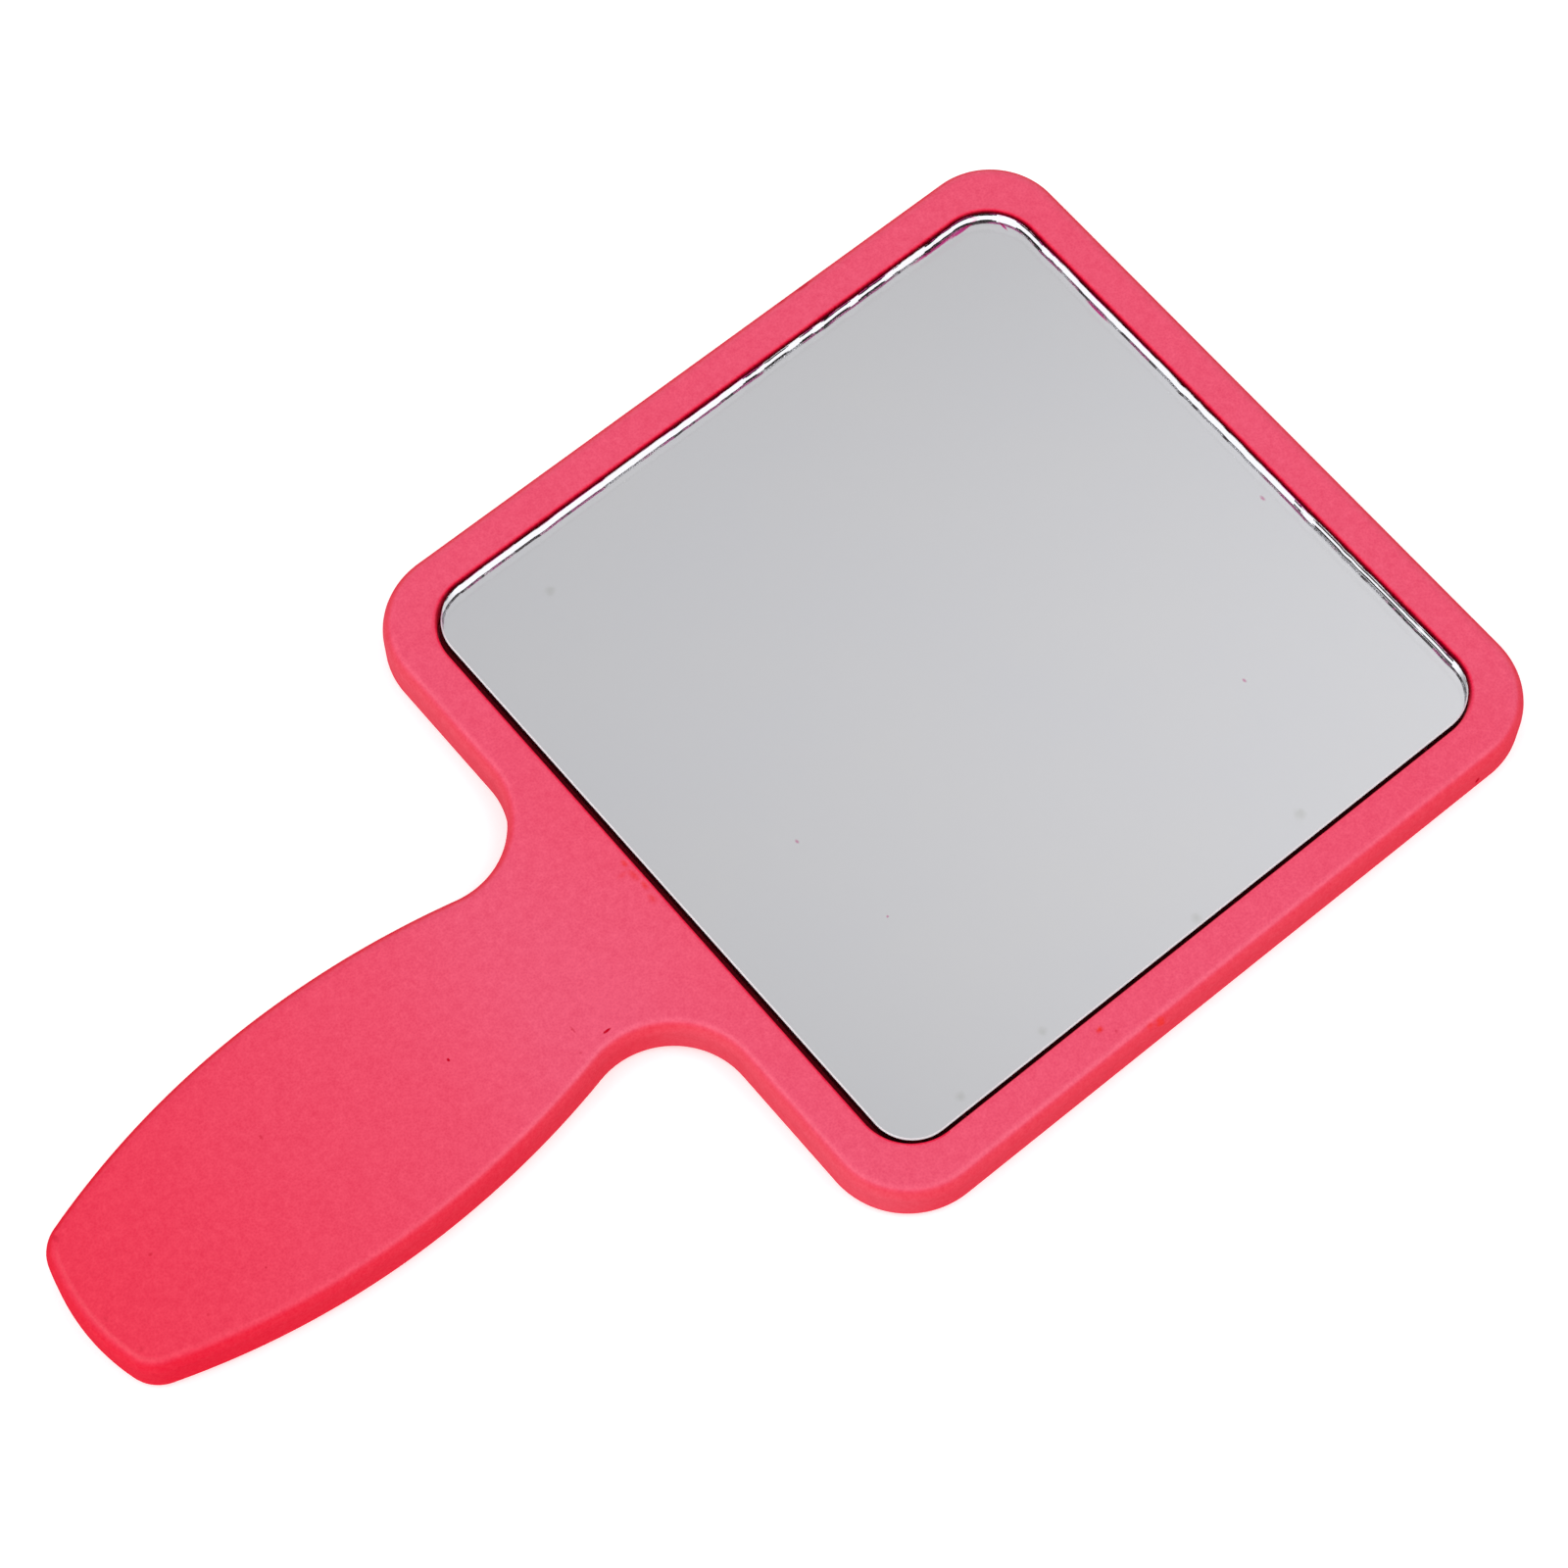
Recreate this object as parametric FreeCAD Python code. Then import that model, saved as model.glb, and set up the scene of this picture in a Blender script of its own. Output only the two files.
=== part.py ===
import FreeCAD, Part
import math
import os
from FreeCAD import Vector

# Square hand mirror with a foam body, in millimetres. It lies on its back: +Z comes out of
# the reflecting face, +Y runs from the handle to the far end of the head, X is the width.
# The origin is the centre of the window, on the flat back face.

# Outline of the head; one corner was cut a little tighter than the others
HEAD_HALF_WIDTH = 76.2
HEAD_FAR_Y = 77.2
HEAD_NEAR_Y = -77.2
HEAD_CORNER_R = 16.0
HEAD_FAR_LEFT_CORNER_R = 14.6

# Outline of the handle: two long arcs each side, a rounded end and a hollowed neck
GRIP_HALF_WIDTH = 24.75
GRIP_WIDEST_Y = -135.6
GRIP_FRONT_R = 168.5
GRIP_REAR_R = 151.0
NECK_R = 15.5
END_Y = -191.7
END_R = 40.0
END_CORNER_R = 7.3

# Thickness of the foam sheets and rounding of their edges
BODY_THICKNESS = 10.2
REAR_THICKNESS = 6.1
OUTER_EDGE_R = 2.5
WINDOW_LIP_R = 0.6

# Window in the front sheet
WINDOW_WIDTH = 135.2
WINDOW_LENGTH = 137.0
WINDOW_CORNER_R = 10.2

# Acrylic pane and its two coatings. The pane was set a little off centre, close to the far and
# left walls of the window; its corners run far right, far left, near left, near right.
PANE_WIDTH = 134.25
PANE_LENGTH = 135.55
PANE_CORNER_RADII = (9.2, 10.0, 9.2, 8.2)
PANE_ARRIS = 0.3
PANE_SHIFT_X = -0.325
PANE_SHIFT_Y = 0.575
COATING_THICKNESS = 0.05

# Black foam tape that sticks the pane down: strips that fill the window out to its walls
TAPE_THICKNESS = 1.2
TAPE_WIDTH = 14.0
TAPE_CLEARANCE = 0.3
TAPE_SPACING = 1.0
MIDDLE_TAPE_X = 16.0

# Film of contact adhesive between the sheets, held back from every edge
FILM_THICKNESS = 0.1
FILM_INSET = 0.8

# Stiffener let into the rear sheet
CORE_WIDTH = 26.0
CORE_THICKNESS = 2.0
CORE_CORNER_R = 8.0
CORE_REAR_Y = -178.0
CORE_FRONT_Y = -20.0

# Slack for picking edges by their place, and how far a cutter stands proud of what it cuts
EDGE_SLACK = 0.01
CUTTER_MARGIN = 1.0


def arc(start, end, centre):
    """Short way round a centre from one point to another."""
    radius = (start - centre).Length
    middle = (start - centre) + (end - centre)
    middle.normalize()
    return Part.Arc(start, centre + middle * radius, end).toShape()


def point_towards(centre, target, distance):
    """Point at a distance from a centre, in the direction of a target."""
    direction = target - centre
    direction.normalize()
    return centre + direction * distance


def circles_meet(first, first_r, second, second_r):
    """Where two circles cross, on the side away from the head."""
    between = second - first
    gap = between.Length
    along = (first_r ** 2 - second_r ** 2 + gap ** 2) / (2 * gap)
    across = math.sqrt(first_r ** 2 - along ** 2)
    between.normalize()
    square = Vector(-between.y, between.x, 0)
    candidates = [first + between * along + square * across,
                  first + between * along - square * across]
    return min(candidates, key=lambda p: p.y)


def outline_half(far_corner_r):
    """Right-hand half of the outline, from the tip of the handle to the middle of the far edge."""
    end_centre = Vector(0, END_Y + END_R, 0)
    rear_centre = Vector(GRIP_HALF_WIDTH - GRIP_REAR_R, GRIP_WIDEST_Y, 0)
    front_centre = Vector(GRIP_HALF_WIDTH - GRIP_FRONT_R, GRIP_WIDEST_Y, 0)
    neck_y = HEAD_NEAR_Y - NECK_R
    neck_reach = math.sqrt((GRIP_FRONT_R + NECK_R) ** 2 - (neck_y - GRIP_WIDEST_Y) ** 2)
    neck_centre = Vector(front_centre.x + neck_reach, neck_y, 0)
    end_corner = circles_meet(end_centre, END_R - END_CORNER_R, rear_centre, GRIP_REAR_R - END_CORNER_R)
    corner_x = HEAD_HALF_WIDTH - HEAD_CORNER_R
    near_corner = Vector(corner_x, HEAD_NEAR_Y + HEAD_CORNER_R, 0)
    far_corner = Vector(HEAD_HALF_WIDTH - far_corner_r, HEAD_FAR_Y - far_corner_r, 0)

    tip = Vector(0, END_Y, 0)
    end_tangent = point_towards(end_centre, end_corner, END_R)
    rear_tangent = point_towards(rear_centre, end_corner, GRIP_REAR_R)
    widest = Vector(GRIP_HALF_WIDTH, GRIP_WIDEST_Y, 0)
    front_tangent = point_towards(front_centre, neck_centre, GRIP_FRONT_R)
    shoulder = Vector(neck_centre.x, HEAD_NEAR_Y, 0)
    near_start = Vector(corner_x, HEAD_NEAR_Y, 0)
    near_end = Vector(HEAD_HALF_WIDTH, near_corner.y, 0)
    far_start = Vector(HEAD_HALF_WIDTH, far_corner.y, 0)
    far_end = Vector(far_corner.x, HEAD_FAR_Y, 0)
    far_middle = Vector(0, HEAD_FAR_Y, 0)

    return [arc(tip, end_tangent, end_centre),
            arc(end_tangent, rear_tangent, end_corner),
            arc(rear_tangent, widest, rear_centre),
            arc(widest, front_tangent, front_centre),
            arc(front_tangent, shoulder, neck_centre),
            Part.makeLine(shoulder, near_start),
            arc(near_start, near_end, near_corner),
            Part.makeLine(near_end, far_start),
            arc(far_start, far_end, far_corner),
            Part.makeLine(far_end, far_middle)]


def body_outline():
    """Closed outline of the head and the handle, as a flat face at height 0."""
    right = outline_half(HEAD_CORNER_R)
    left = [edge.mirror(Vector(0, 0, 0), Vector(1, 0, 0)) for edge in outline_half(HEAD_FAR_LEFT_CORNER_R)]
    return Part.Face(Part.Wire(Part.__sortEdges__(right + left)))


def rounded_rectangle(width, length, radii, centre_x=0.0, centre_y=0.0):
    """Flat rectangle at height 0; its corners share one radius, or have four, anticlockwise."""
    if not isinstance(radii, tuple):
        radii = (radii, radii, radii, radii)
    sides = [(1, 1, 0), (-1, 1, 90), (-1, -1, 180), (1, -1, 270)]
    edges = []
    last = None
    first = None
    for (side_x, side_y, angle), radius in zip(sides, radii):
        a = math.radians(angle)
        centre = Vector(centre_x + side_x * (width / 2 - radius),
                        centre_y + side_y * (length / 2 - radius), 0)
        start = centre + Vector(math.cos(a), math.sin(a), 0) * radius
        end = centre + Vector(-math.sin(a), math.cos(a), 0) * radius
        if last is None:
            first = start
        else:
            edges.append(Part.makeLine(last, start))
        edges.append(arc(start, end, centre))
        last = end
    edges.append(Part.makeLine(last, first))
    return Part.Face(Part.Wire(edges))


def slab(face, bottom, top):
    """Flat face pulled up between two heights."""
    solid = face.extrude(Vector(0, 0, top - bottom))
    solid.translate(Vector(0, 0, bottom))
    return solid


def level_edges(solid, height, half_width=HEAD_HALF_WIDTH + EDGE_SLACK):
    """Edges lying at one height, and no farther out than a half width."""
    found = []
    for edge in solid.Edges:
        box = edge.BoundBox
        level = abs(box.ZMin - height) < EDGE_SLACK and abs(box.ZMax - height) < EDGE_SLACK
        if level and max(abs(box.XMin), abs(box.XMax)) < half_width:
            found.append(edge)
    return found


def core_blank():
    """Stiffener strip, filling its pocket in the rear sheet."""
    middle_y = (CORE_REAR_Y + CORE_FRONT_Y) / 2
    face = rounded_rectangle(CORE_WIDTH, CORE_FRONT_Y - CORE_REAR_Y, CORE_CORNER_R, 0.0, middle_y)
    return slab(face, REAR_THICKNESS - CORE_THICKNESS, REAR_THICKNESS)


def rear_foam_panel():
    """Full outline, rounded round the back edge, with the stiffener's pocket in its top."""
    solid = slab(body_outline(), 0.0, REAR_THICKNESS)
    solid = solid.makeFillet(OUTER_EDGE_R, level_edges(solid, 0.0))
    return solid.cut(core_blank())


def laminating_adhesive():
    """Film joining the two sheets: round the window, and all over the handle."""
    outline = body_outline().makeOffset2D(-FILM_INSET)
    window = rounded_rectangle(WINDOW_WIDTH + 2 * FILM_INSET, WINDOW_LENGTH + 2 * FILM_INSET,
                               WINDOW_CORNER_R + FILM_INSET)
    return slab(outline.cut(window), REAR_THICKNESS, REAR_THICKNESS + FILM_THICKNESS)


def front_foam_frame():
    """Full outline, rounded round the front edge, with the window and a recess for the film."""
    solid = slab(body_outline(), REAR_THICKNESS, BODY_THICKNESS)
    solid = solid.makeFillet(OUTER_EDGE_R, level_edges(solid, BODY_THICKNESS))
    window = rounded_rectangle(WINDOW_WIDTH, WINDOW_LENGTH, WINDOW_CORNER_R)
    solid = solid.cut(slab(window, REAR_THICKNESS - CUTTER_MARGIN, BODY_THICKNESS + CUTTER_MARGIN))
    lip = level_edges(solid, BODY_THICKNESS, WINDOW_WIDTH / 2 + EDGE_SLACK)
    lip = [edge for edge in lip if edge.BoundBox.YMin > -WINDOW_LENGTH / 2 - EDGE_SLACK]
    solid = solid.makeFillet(WINDOW_LIP_R, lip)
    return solid.cut(laminating_adhesive())


def pane_face():
    """Plan of the pane, shared by its coatings."""
    return rounded_rectangle(PANE_WIDTH, PANE_LENGTH, PANE_CORNER_RADII, PANE_SHIFT_X, PANE_SHIFT_Y)


def pane_tape():
    """Foam tape in straight strips, trimmed round at the corners of the window."""
    half_width = WINDOW_WIDTH / 2 - TAPE_CLEARANCE
    half_length = WINDOW_LENGTH / 2 - TAPE_CLEARANCE
    trim = slab(rounded_rectangle(2 * half_width, 2 * half_length, WINDOW_CORNER_R - TAPE_CLEARANCE),
                REAR_THICKNESS, REAR_THICKNESS + TAPE_THICKNESS)
    side_length = 2 * (half_length - TAPE_WIDTH - TAPE_SPACING)
    strips = []
    for side in (-1, 1):
        across = Part.makeBox(2 * half_width, TAPE_WIDTH, TAPE_THICKNESS)
        middle_y = side * (half_length - TAPE_WIDTH / 2)
        across.translate(Vector(-half_width, middle_y - TAPE_WIDTH / 2, REAR_THICKNESS))
        strips.append(across.common(trim))
        for offset in (half_width - TAPE_WIDTH / 2, MIDDLE_TAPE_X):
            along = Part.makeBox(TAPE_WIDTH, side_length, TAPE_THICKNESS)
            along.translate(Vector(side * offset - TAPE_WIDTH / 2, -side_length / 2, REAR_THICKNESS))
            strips.append(along.common(trim))
    return Part.makeCompound([strip.Solids[0] for strip in strips])


def backing_paint():
    """Grey paint protecting the silver, on the tape."""
    bottom = REAR_THICKNESS + TAPE_THICKNESS
    return slab(pane_face(), bottom, bottom + COATING_THICKNESS)


def silver_layer():
    """Reflecting metal on the back of the pane."""
    bottom = REAR_THICKNESS + TAPE_THICKNESS + COATING_THICKNESS
    return slab(pane_face(), bottom, bottom + COATING_THICKNESS)


def mirror_pane():
    """Clear acrylic sheet, flush with the front of the frame, its front edge eased."""
    solid = slab(pane_face(), REAR_THICKNESS + TAPE_THICKNESS + 2 * COATING_THICKNESS, BODY_THICKNESS)
    return solid.makeChamfer(PANE_ARRIS, level_edges(solid, BODY_THICKNESS))


NODES = {"rear_foam_panel": rear_foam_panel, "stiffener_core": core_blank,
         "laminating_adhesive": laminating_adhesive, "front_foam_frame": front_foam_frame,
         "pane_tape": pane_tape, "backing_paint": backing_paint,
         "silver_layer": silver_layer, "mirror_pane": mirror_pane}

os.makedirs("parts", exist_ok=True)
for name, make in NODES.items():
    shape = make()
    shape.exportStep("parts/" + name + ".step")
    print(name, "%.1f mm3" % shape.Volume, "solids", len(shape.Solids), "valid", shape.isValid())
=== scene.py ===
from math import atan2, degrees, radians, sqrt

import bmesh
import bpy
from mathutils import Matrix, Quaternion, Vector, noise


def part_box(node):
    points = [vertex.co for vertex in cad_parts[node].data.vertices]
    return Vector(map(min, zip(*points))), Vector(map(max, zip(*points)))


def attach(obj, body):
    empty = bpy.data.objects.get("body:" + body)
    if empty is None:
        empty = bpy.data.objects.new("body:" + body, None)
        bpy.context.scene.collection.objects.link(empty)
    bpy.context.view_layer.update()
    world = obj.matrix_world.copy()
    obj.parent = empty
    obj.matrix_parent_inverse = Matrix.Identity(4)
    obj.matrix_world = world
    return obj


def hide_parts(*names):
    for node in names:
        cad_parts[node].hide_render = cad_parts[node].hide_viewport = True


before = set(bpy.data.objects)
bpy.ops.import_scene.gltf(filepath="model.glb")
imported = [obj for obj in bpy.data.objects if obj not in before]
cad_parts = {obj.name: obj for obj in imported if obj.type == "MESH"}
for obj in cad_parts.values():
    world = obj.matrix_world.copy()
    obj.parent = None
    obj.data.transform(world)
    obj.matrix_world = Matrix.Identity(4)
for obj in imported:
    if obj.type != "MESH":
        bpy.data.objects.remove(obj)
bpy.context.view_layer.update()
mm = 0.001


# ------------------------------------------------------------------ the foam body's outline
# The head and the handle are one shape, cut from two sheets of closed-cell foam that are glued
# face to face. Each side of the handle is two long bows that meet where it is broadest, a
# hollow neck runs into the head, and the head is a square with rounded corners.
head_half_width = 76.2 * mm
head_half_length = 77.2 * mm
head_corner = 16.0 * mm
head_tight_corner = 14.6 * mm
grip_half_width = 24.75 * mm
grip_widest_y = -135.6 * mm
grip_front_bow = 168.5 * mm
grip_rear_bow = 151.0 * mm
neck_hollow = 15.5 * mm
handle_end_y = -191.7 * mm
handle_end_bow = 40.0 * mm
handle_end_corner = 7.3 * mm
hair = 0.001 * mm  # how far off a place or a height may be and still count as met
crisp_turn = radians(50)


def draw_line(bm, pen, x, y):
    """Carries the open end of an outline straight to a point."""
    end = bmesh.ops.extrude_vert_indiv(bm, verts=[pen])["verts"][0]
    end.co = (x, y, 0)
    return end


def swing_arc(bm, pen, centre, turn, steps):
    """Carries the open end of an outline round a centre, by a turn in degrees."""
    swung = bmesh.ops.spin(bm, geom=[pen], cent=(centre.x, centre.y, 0), axis=(0, 0, 1),
                           angle=radians(turn), steps=steps, use_merge=False)
    return next(g for g in swung["geom_last"] if isinstance(g, bmesh.types.BMVert))


def bearing(start, end):
    """Direction from one point to another, in degrees."""
    return degrees(atan2(end.y - start.y, end.x - start.x))


def draw_body_outline(bm, pen):
    """Right-hand half of the outline, from the tip of the handle to the middle of the far edge."""
    end_centre = Vector((0, handle_end_y + handle_end_bow))
    rear_centre = Vector((grip_half_width - grip_rear_bow, grip_widest_y))
    front_centre = Vector((grip_half_width - grip_front_bow, grip_widest_y))
    span = rear_centre - end_centre
    near_reach = handle_end_bow - handle_end_corner
    far_reach = grip_rear_bow - handle_end_corner
    along = (near_reach ** 2 - far_reach ** 2 + span.length ** 2) / (2 * span.length)
    aside = sqrt(near_reach ** 2 - along ** 2)
    way = span.normalized()
    corner_centre = end_centre + way * along + Vector((-way.y, way.x)) * aside
    neck_y = -head_half_length - neck_hollow
    neck_reach = sqrt((grip_front_bow + neck_hollow) ** 2 - (neck_y - grip_widest_y) ** 2)
    neck_centre = Vector((front_centre.x + neck_reach, neck_y))
    corner_x = head_half_width - head_corner
    corner_y = head_half_length - head_corner

    end_bearing = bearing(end_centre, corner_centre)
    grip_bearing = bearing(rear_centre, corner_centre)
    neck_bearing = bearing(front_centre, neck_centre)
    pen = swing_arc(bm, pen, end_centre, end_bearing + 90, steps=24)
    pen = swing_arc(bm, pen, corner_centre, grip_bearing - end_bearing, steps=18)
    pen = swing_arc(bm, pen, rear_centre, -grip_bearing, steps=40)
    pen = swing_arc(bm, pen, front_centre, neck_bearing, steps=32)
    pen = swing_arc(bm, pen, neck_centre, -neck_bearing - 90, steps=40)
    pen = draw_line(bm, pen, corner_x, -head_half_length)
    pen = swing_arc(bm, pen, Vector((corner_x, -corner_y)), 90, steps=32)
    pen = draw_line(bm, pen, head_half_width, corner_y)
    pen = swing_arc(bm, pen, Vector((corner_x, corner_y)), 90, steps=32)
    return draw_line(bm, pen, 0, head_half_length)


def draw_rounded_half(bm, pen, half_width, low_y, high_y, corner, steps):
    """Right-hand half of a rounded rectangle, from its far middle back to its near middle."""
    corner_x = half_width - corner
    pen = draw_line(bm, pen, corner_x, high_y)
    pen = swing_arc(bm, pen, Vector((corner_x, high_y - corner)), -90, steps)
    pen = draw_line(bm, pen, half_width, low_y + corner)
    pen = swing_arc(bm, pen, Vector((corner_x, low_y + corner)), -90, steps)
    return draw_line(bm, pen, 0, low_y)


def mirror_and_lift(bm, height):
    """Completes a half plan on the other side, and pulls it up into a slab."""
    bmesh.ops.mirror(bm, geom=bm.verts[:] + bm.edges[:] + bm.faces[:], matrix=Matrix(),
                     merge_dist=hair, axis='X')
    lifted = bmesh.ops.extrude_face_region(bm, geom=bm.faces[:])
    risen = [g for g in lifted["geom"] if isinstance(g, bmesh.types.BMVert)]
    bmesh.ops.translate(bm, verts=risen, vec=(0, 0, height))
    bmesh.ops.recalc_face_normals(bm, faces=bm.faces[:])


def tighten_far_left(bm):
    """Draws the far left corner of the head out to its tighter rounding."""
    middle = Vector((head_corner - head_half_width, head_half_length - head_corner, 0))
    shift = Vector((head_tight_corner - head_corner, head_corner - head_tight_corner, 0))
    for vert in bm.verts:
        way = Vector((vert.co.x, vert.co.y, 0)) - middle
        on_corner = abs(way.length - head_corner) < 10 * hair
        if on_corner and way.x < hair and way.y > -hair:
            vert.co += shift + way * (head_tight_corner / head_corner - 1)


def rim_edges(bm, height):
    """Edges at one height, where a level face meets a wall."""
    found = []
    for edge in bm.edges:
        level = all(abs(v.co.z - height) < hair for v in edge.verts)
        if level and any(abs(f.normal.z) < 0.5 for f in edge.link_faces):
            found.append(edge)
    return found


def round_over(bm, edges, radius, segments):
    """Rounds edges to a radius."""
    bmesh.ops.bevel(bm, geom=edges, offset=radius, offset_type='OFFSET', segments=segments,
                    profile=0.5, affect='EDGES', material=-1, clamp_overlap=False)


def level_faces(bm, height):
    """Level faces at one height."""
    return [f for f in bm.faces if all(abs(v.co.z - height) < hair for v in f.verts)]


def settle(bm, name):
    """Makes the piece: smooth over its curved faces, crisp at its level ones and sharp edges."""
    bmesh.ops.recalc_face_normals(bm, faces=bm.faces[:])
    for face in bm.faces:
        face.smooth = abs(face.normal.z) < 0.9999
    for edge in bm.edges:
        edge.smooth = edge.calc_face_angle(0) < crisp_turn
    mesh = bpy.data.meshes.new(name)
    bm.to_mesh(mesh)
    bm.free()
    piece = bpy.data.objects.new(name, mesh)
    bpy.context.scene.collection.objects.link(piece)
    return piece


# ------------------------------------------------------------------ rear foam sheet
# The back of the mirror: one full sheet, 6 mm thick, its back edge rounded all round.
# A pocket in its inner face holds the stiffener.
rear_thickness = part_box("rear_foam_panel")[1].z
core_low, core_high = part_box("stiffener_core")
core_corner = 8.0 * mm
pocket_taper = 0.01 * mm
edge_rounding = 2.5 * mm
edge_segments = 14

bm = bmesh.new()
tip = bm.verts.new((0, handle_end_y, 0))
far = draw_body_outline(bm, tip)
pocket_far = draw_line(bm, far, 0, core_high.y)
bm.edges.index_update()
drawn = len(bm.edges)
pocket_near = draw_rounded_half(bm, pocket_far, core_high.x, core_low.y, core_high.y,
                                core_corner, steps=8)
bm.edges.ensure_lookup_table()
pocket_side = bm.edges[drawn:]
bm.edges.new((pocket_near, tip))
bmesh.ops.edgeloop_fill(bm, edges=bm.edges[:])
middle = bm.edges.new((pocket_near, pocket_far))
bmesh.ops.edgeloop_fill(bm, edges=pocket_side + [middle])
mirror_and_lift(bm, rear_thickness)
tighten_far_left(bm)
round_over(bm, rim_edges(bm, 0), edge_rounding, edge_segments)
pocket = [f for f in level_faces(bm, rear_thickness)
          if max(abs(v.co.x) for v in f.verts) < core_high.x + mm]
bmesh.ops.inset_region(bm, faces=pocket, thickness=pocket_taper, depth=core_low.z - core_high.z)
rear_sheet = settle(bm, "rear_foam_sheet")
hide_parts("rear_foam_panel")
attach(rear_sheet, "root")


# ------------------------------------------------------------------ front foam sheet
# The frame round the mirror: the same outline from 4 mm sheet, with a rounded square window.
# The window's lip is crisp on the near and right sides, and pressed round on the other two,
# where the pane leans on it. The glue film lies in a shallow recess underneath.
front_low, front_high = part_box("front_foam_frame")
front_thickness = front_high.z - front_low.z
film_low, film_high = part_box("laminating_adhesive")
film_inset = 0.8 * mm
window_half_width = 67.6 * mm
window_half_length = 68.5 * mm
window_corner = 10.2 * mm
lip_rounding = 0.6 * mm
lip_segments = 6
crisp_lip = 0.4
pressed_lip = 1.6
side_ease = 9 * mm

bm = bmesh.new()
tip = bm.verts.new((0, handle_end_y, 0))
far = draw_body_outline(bm, tip)
window_far = draw_line(bm, far, 0, window_half_length)
window_near = draw_rounded_half(bm, window_far, window_half_width, -window_half_length,
                                window_half_length, window_corner, steps=28)
bm.edges.new((window_near, tip))
bmesh.ops.edgeloop_fill(bm, edges=bm.edges[:])
mirror_and_lift(bm, front_thickness)
tighten_far_left(bm)


def beyond_edge(place, half_width, half_length, corner):
    """Distance out of a rounded rectangle, and the direction straight out of its edge."""
    out = Vector((abs(place.x) - half_width + corner, abs(place.y) - half_length + corner))
    if min(out) > 0:
        distance = out.length - corner
        way = out.normalized()
    elif out.x > out.y:
        distance = out.x - corner
        way = Vector((1, 0))
    else:
        distance = out.y - corner
        way = Vector((0, 1))
    across = way.x if place.x > 0 else -way.x
    along = way.y if place.y > 0 else -way.y
    return distance, Vector((across, along, 0))


def far_side(place):
    """0 on the near and right sides of a square, 1 on the far and left, easing at corners."""
    share = min(max((place.y - place.x + side_ease) / (2 * side_ease), 0), 1)
    return share * share * (3 - 2 * share)


def in_window(edge):
    """True for an edge on the window's own wall."""
    place = (edge.verts[0].co + edge.verts[1].co) / 2
    return abs(place.x) < window_half_width + mm and abs(place.y) < window_half_length + mm


outer_rim = [e for e in rim_edges(bm, front_thickness) if not in_window(e)]
round_over(bm, outer_rim, edge_rounding, edge_segments)
window_rim = [e for e in rim_edges(bm, front_thickness) if in_window(e)]
round_over(bm, window_rim, lip_rounding, lip_segments)
for vert in bm.verts:
    beyond, outwards = beyond_edge(vert.co, window_half_width, window_half_length, window_corner)
    below = front_thickness - vert.co.z
    if max(beyond, below) < lip_rounding + 10 * hair:
        share = crisp_lip + (pressed_lip - crisp_lip) * far_side(vert.co) - 1
        vert.co += outwards * max(beyond, 0) * share - Vector((0, 0, below * share))
bmesh.ops.inset_region(bm, faces=level_faces(bm, 0), thickness=film_inset, use_even_offset=True)
recess = [f for f in level_faces(bm, 0) if len(f.verts) > 8]
bmesh.ops.inset_region(bm, faces=recess, thickness=pocket_taper, depth=film_low.z - film_high.z)
bmesh.ops.translate(bm, verts=bm.verts[:], vec=(0, 0, front_low.z))
front_sheet = settle(bm, "front_foam_sheet")
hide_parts("front_foam_frame")
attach(front_sheet, "root")


# ------------------------------------------------------------------ red foam skin
# Both sheets are the same coral-red foam: a matt skin with a fine grain of closed cells,
# very slightly mottled. A pale bloom lies over the faces that look up. It is partly the foam's
# own and partly painted sheen, which is fuller on the walls facing the near side and, as painted
# light, falls off towards the end of the handle. The walls are a darker painted-shade copy of
# the tops, redder towards the table, and painted shade darkens the crevice where the pane
# leans on it.
clean_red = (0.775, 0.0065, 0.047, 1)
bloom_and_sheen_red = (0.775, 0.0697, 0.147, 1)
# The wall colours are painted-light copies of the top ones: a darker red as painted shade, and a
# paler bloom carrying painted sheen.
shaded_wall_red = (0.73, 0.0075, 0.03, 1)
bloom_and_sheen_wall_red = (0.73, 0.09, 0.13, 1)
bruised_red = (0.5, 0.004, 0.02, 1)
worn_orange = (0.76, 0.035, 0.035, 1)
# A dark red painted for the shaded gap round the pane: painted shade on the foam, painted dim red
# light on the tape.
painted_gap_red = (0.11, 0.001, 0.006, 1)
falloff_low_y = -195 * mm
falloff_high_y = 85 * mm
powder_share = 0.26


def node(tree, kind, inputs=None, **settings):
    """Adds a node; inputs are plain values, or sockets to link from."""
    made = tree.nodes.new(kind)
    for key, value in settings.items():
        setattr(made, key, value)
    for key, value in (inputs or {}).items():
        if isinstance(value, bpy.types.NodeSocket):
            tree.links.new(value, made.inputs[key])
        else:
            made.inputs[key].default_value = value
    return made


def new_material(name):
    """An empty node material, its tree, and the piece's own coordinates."""
    material = bpy.data.materials.new(name)
    material.use_nodes = True
    tree = material.node_tree
    tree.nodes.clear()
    return material, tree, node(tree, "ShaderNodeTexCoord")


def finish_material(tree, surface):
    """Sends a shader to the output."""
    node(tree, "ShaderNodeOutputMaterial", {"Surface": surface})


def effect_group(name, inputs, outputs):
    """An empty node group with named sockets: inputs are (name, kind, default)."""
    group = bpy.data.node_groups.new(name, "ShaderNodeTree")
    for label, kind, default in inputs:
        socket = group.interface.new_socket(label, in_out="INPUT", socket_type=kind)
        if default is not None:
            socket.default_value = default
    for label, kind in outputs:
        group.interface.new_socket(label, in_out="OUTPUT", socket_type=kind)
    return group, node(group, "NodeGroupInput"), node(group, "NodeGroupOutput")


def place_group(tree, group, inputs):
    """Puts a node group in a material or in another group."""
    return node(tree, "ShaderNodeGroup", inputs, node_tree=group)


def reckon(tree, operation, *values):
    """Arithmetic on masks and levels."""
    return node(tree, "ShaderNodeMath", dict(enumerate(values)), operation=operation)


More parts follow.
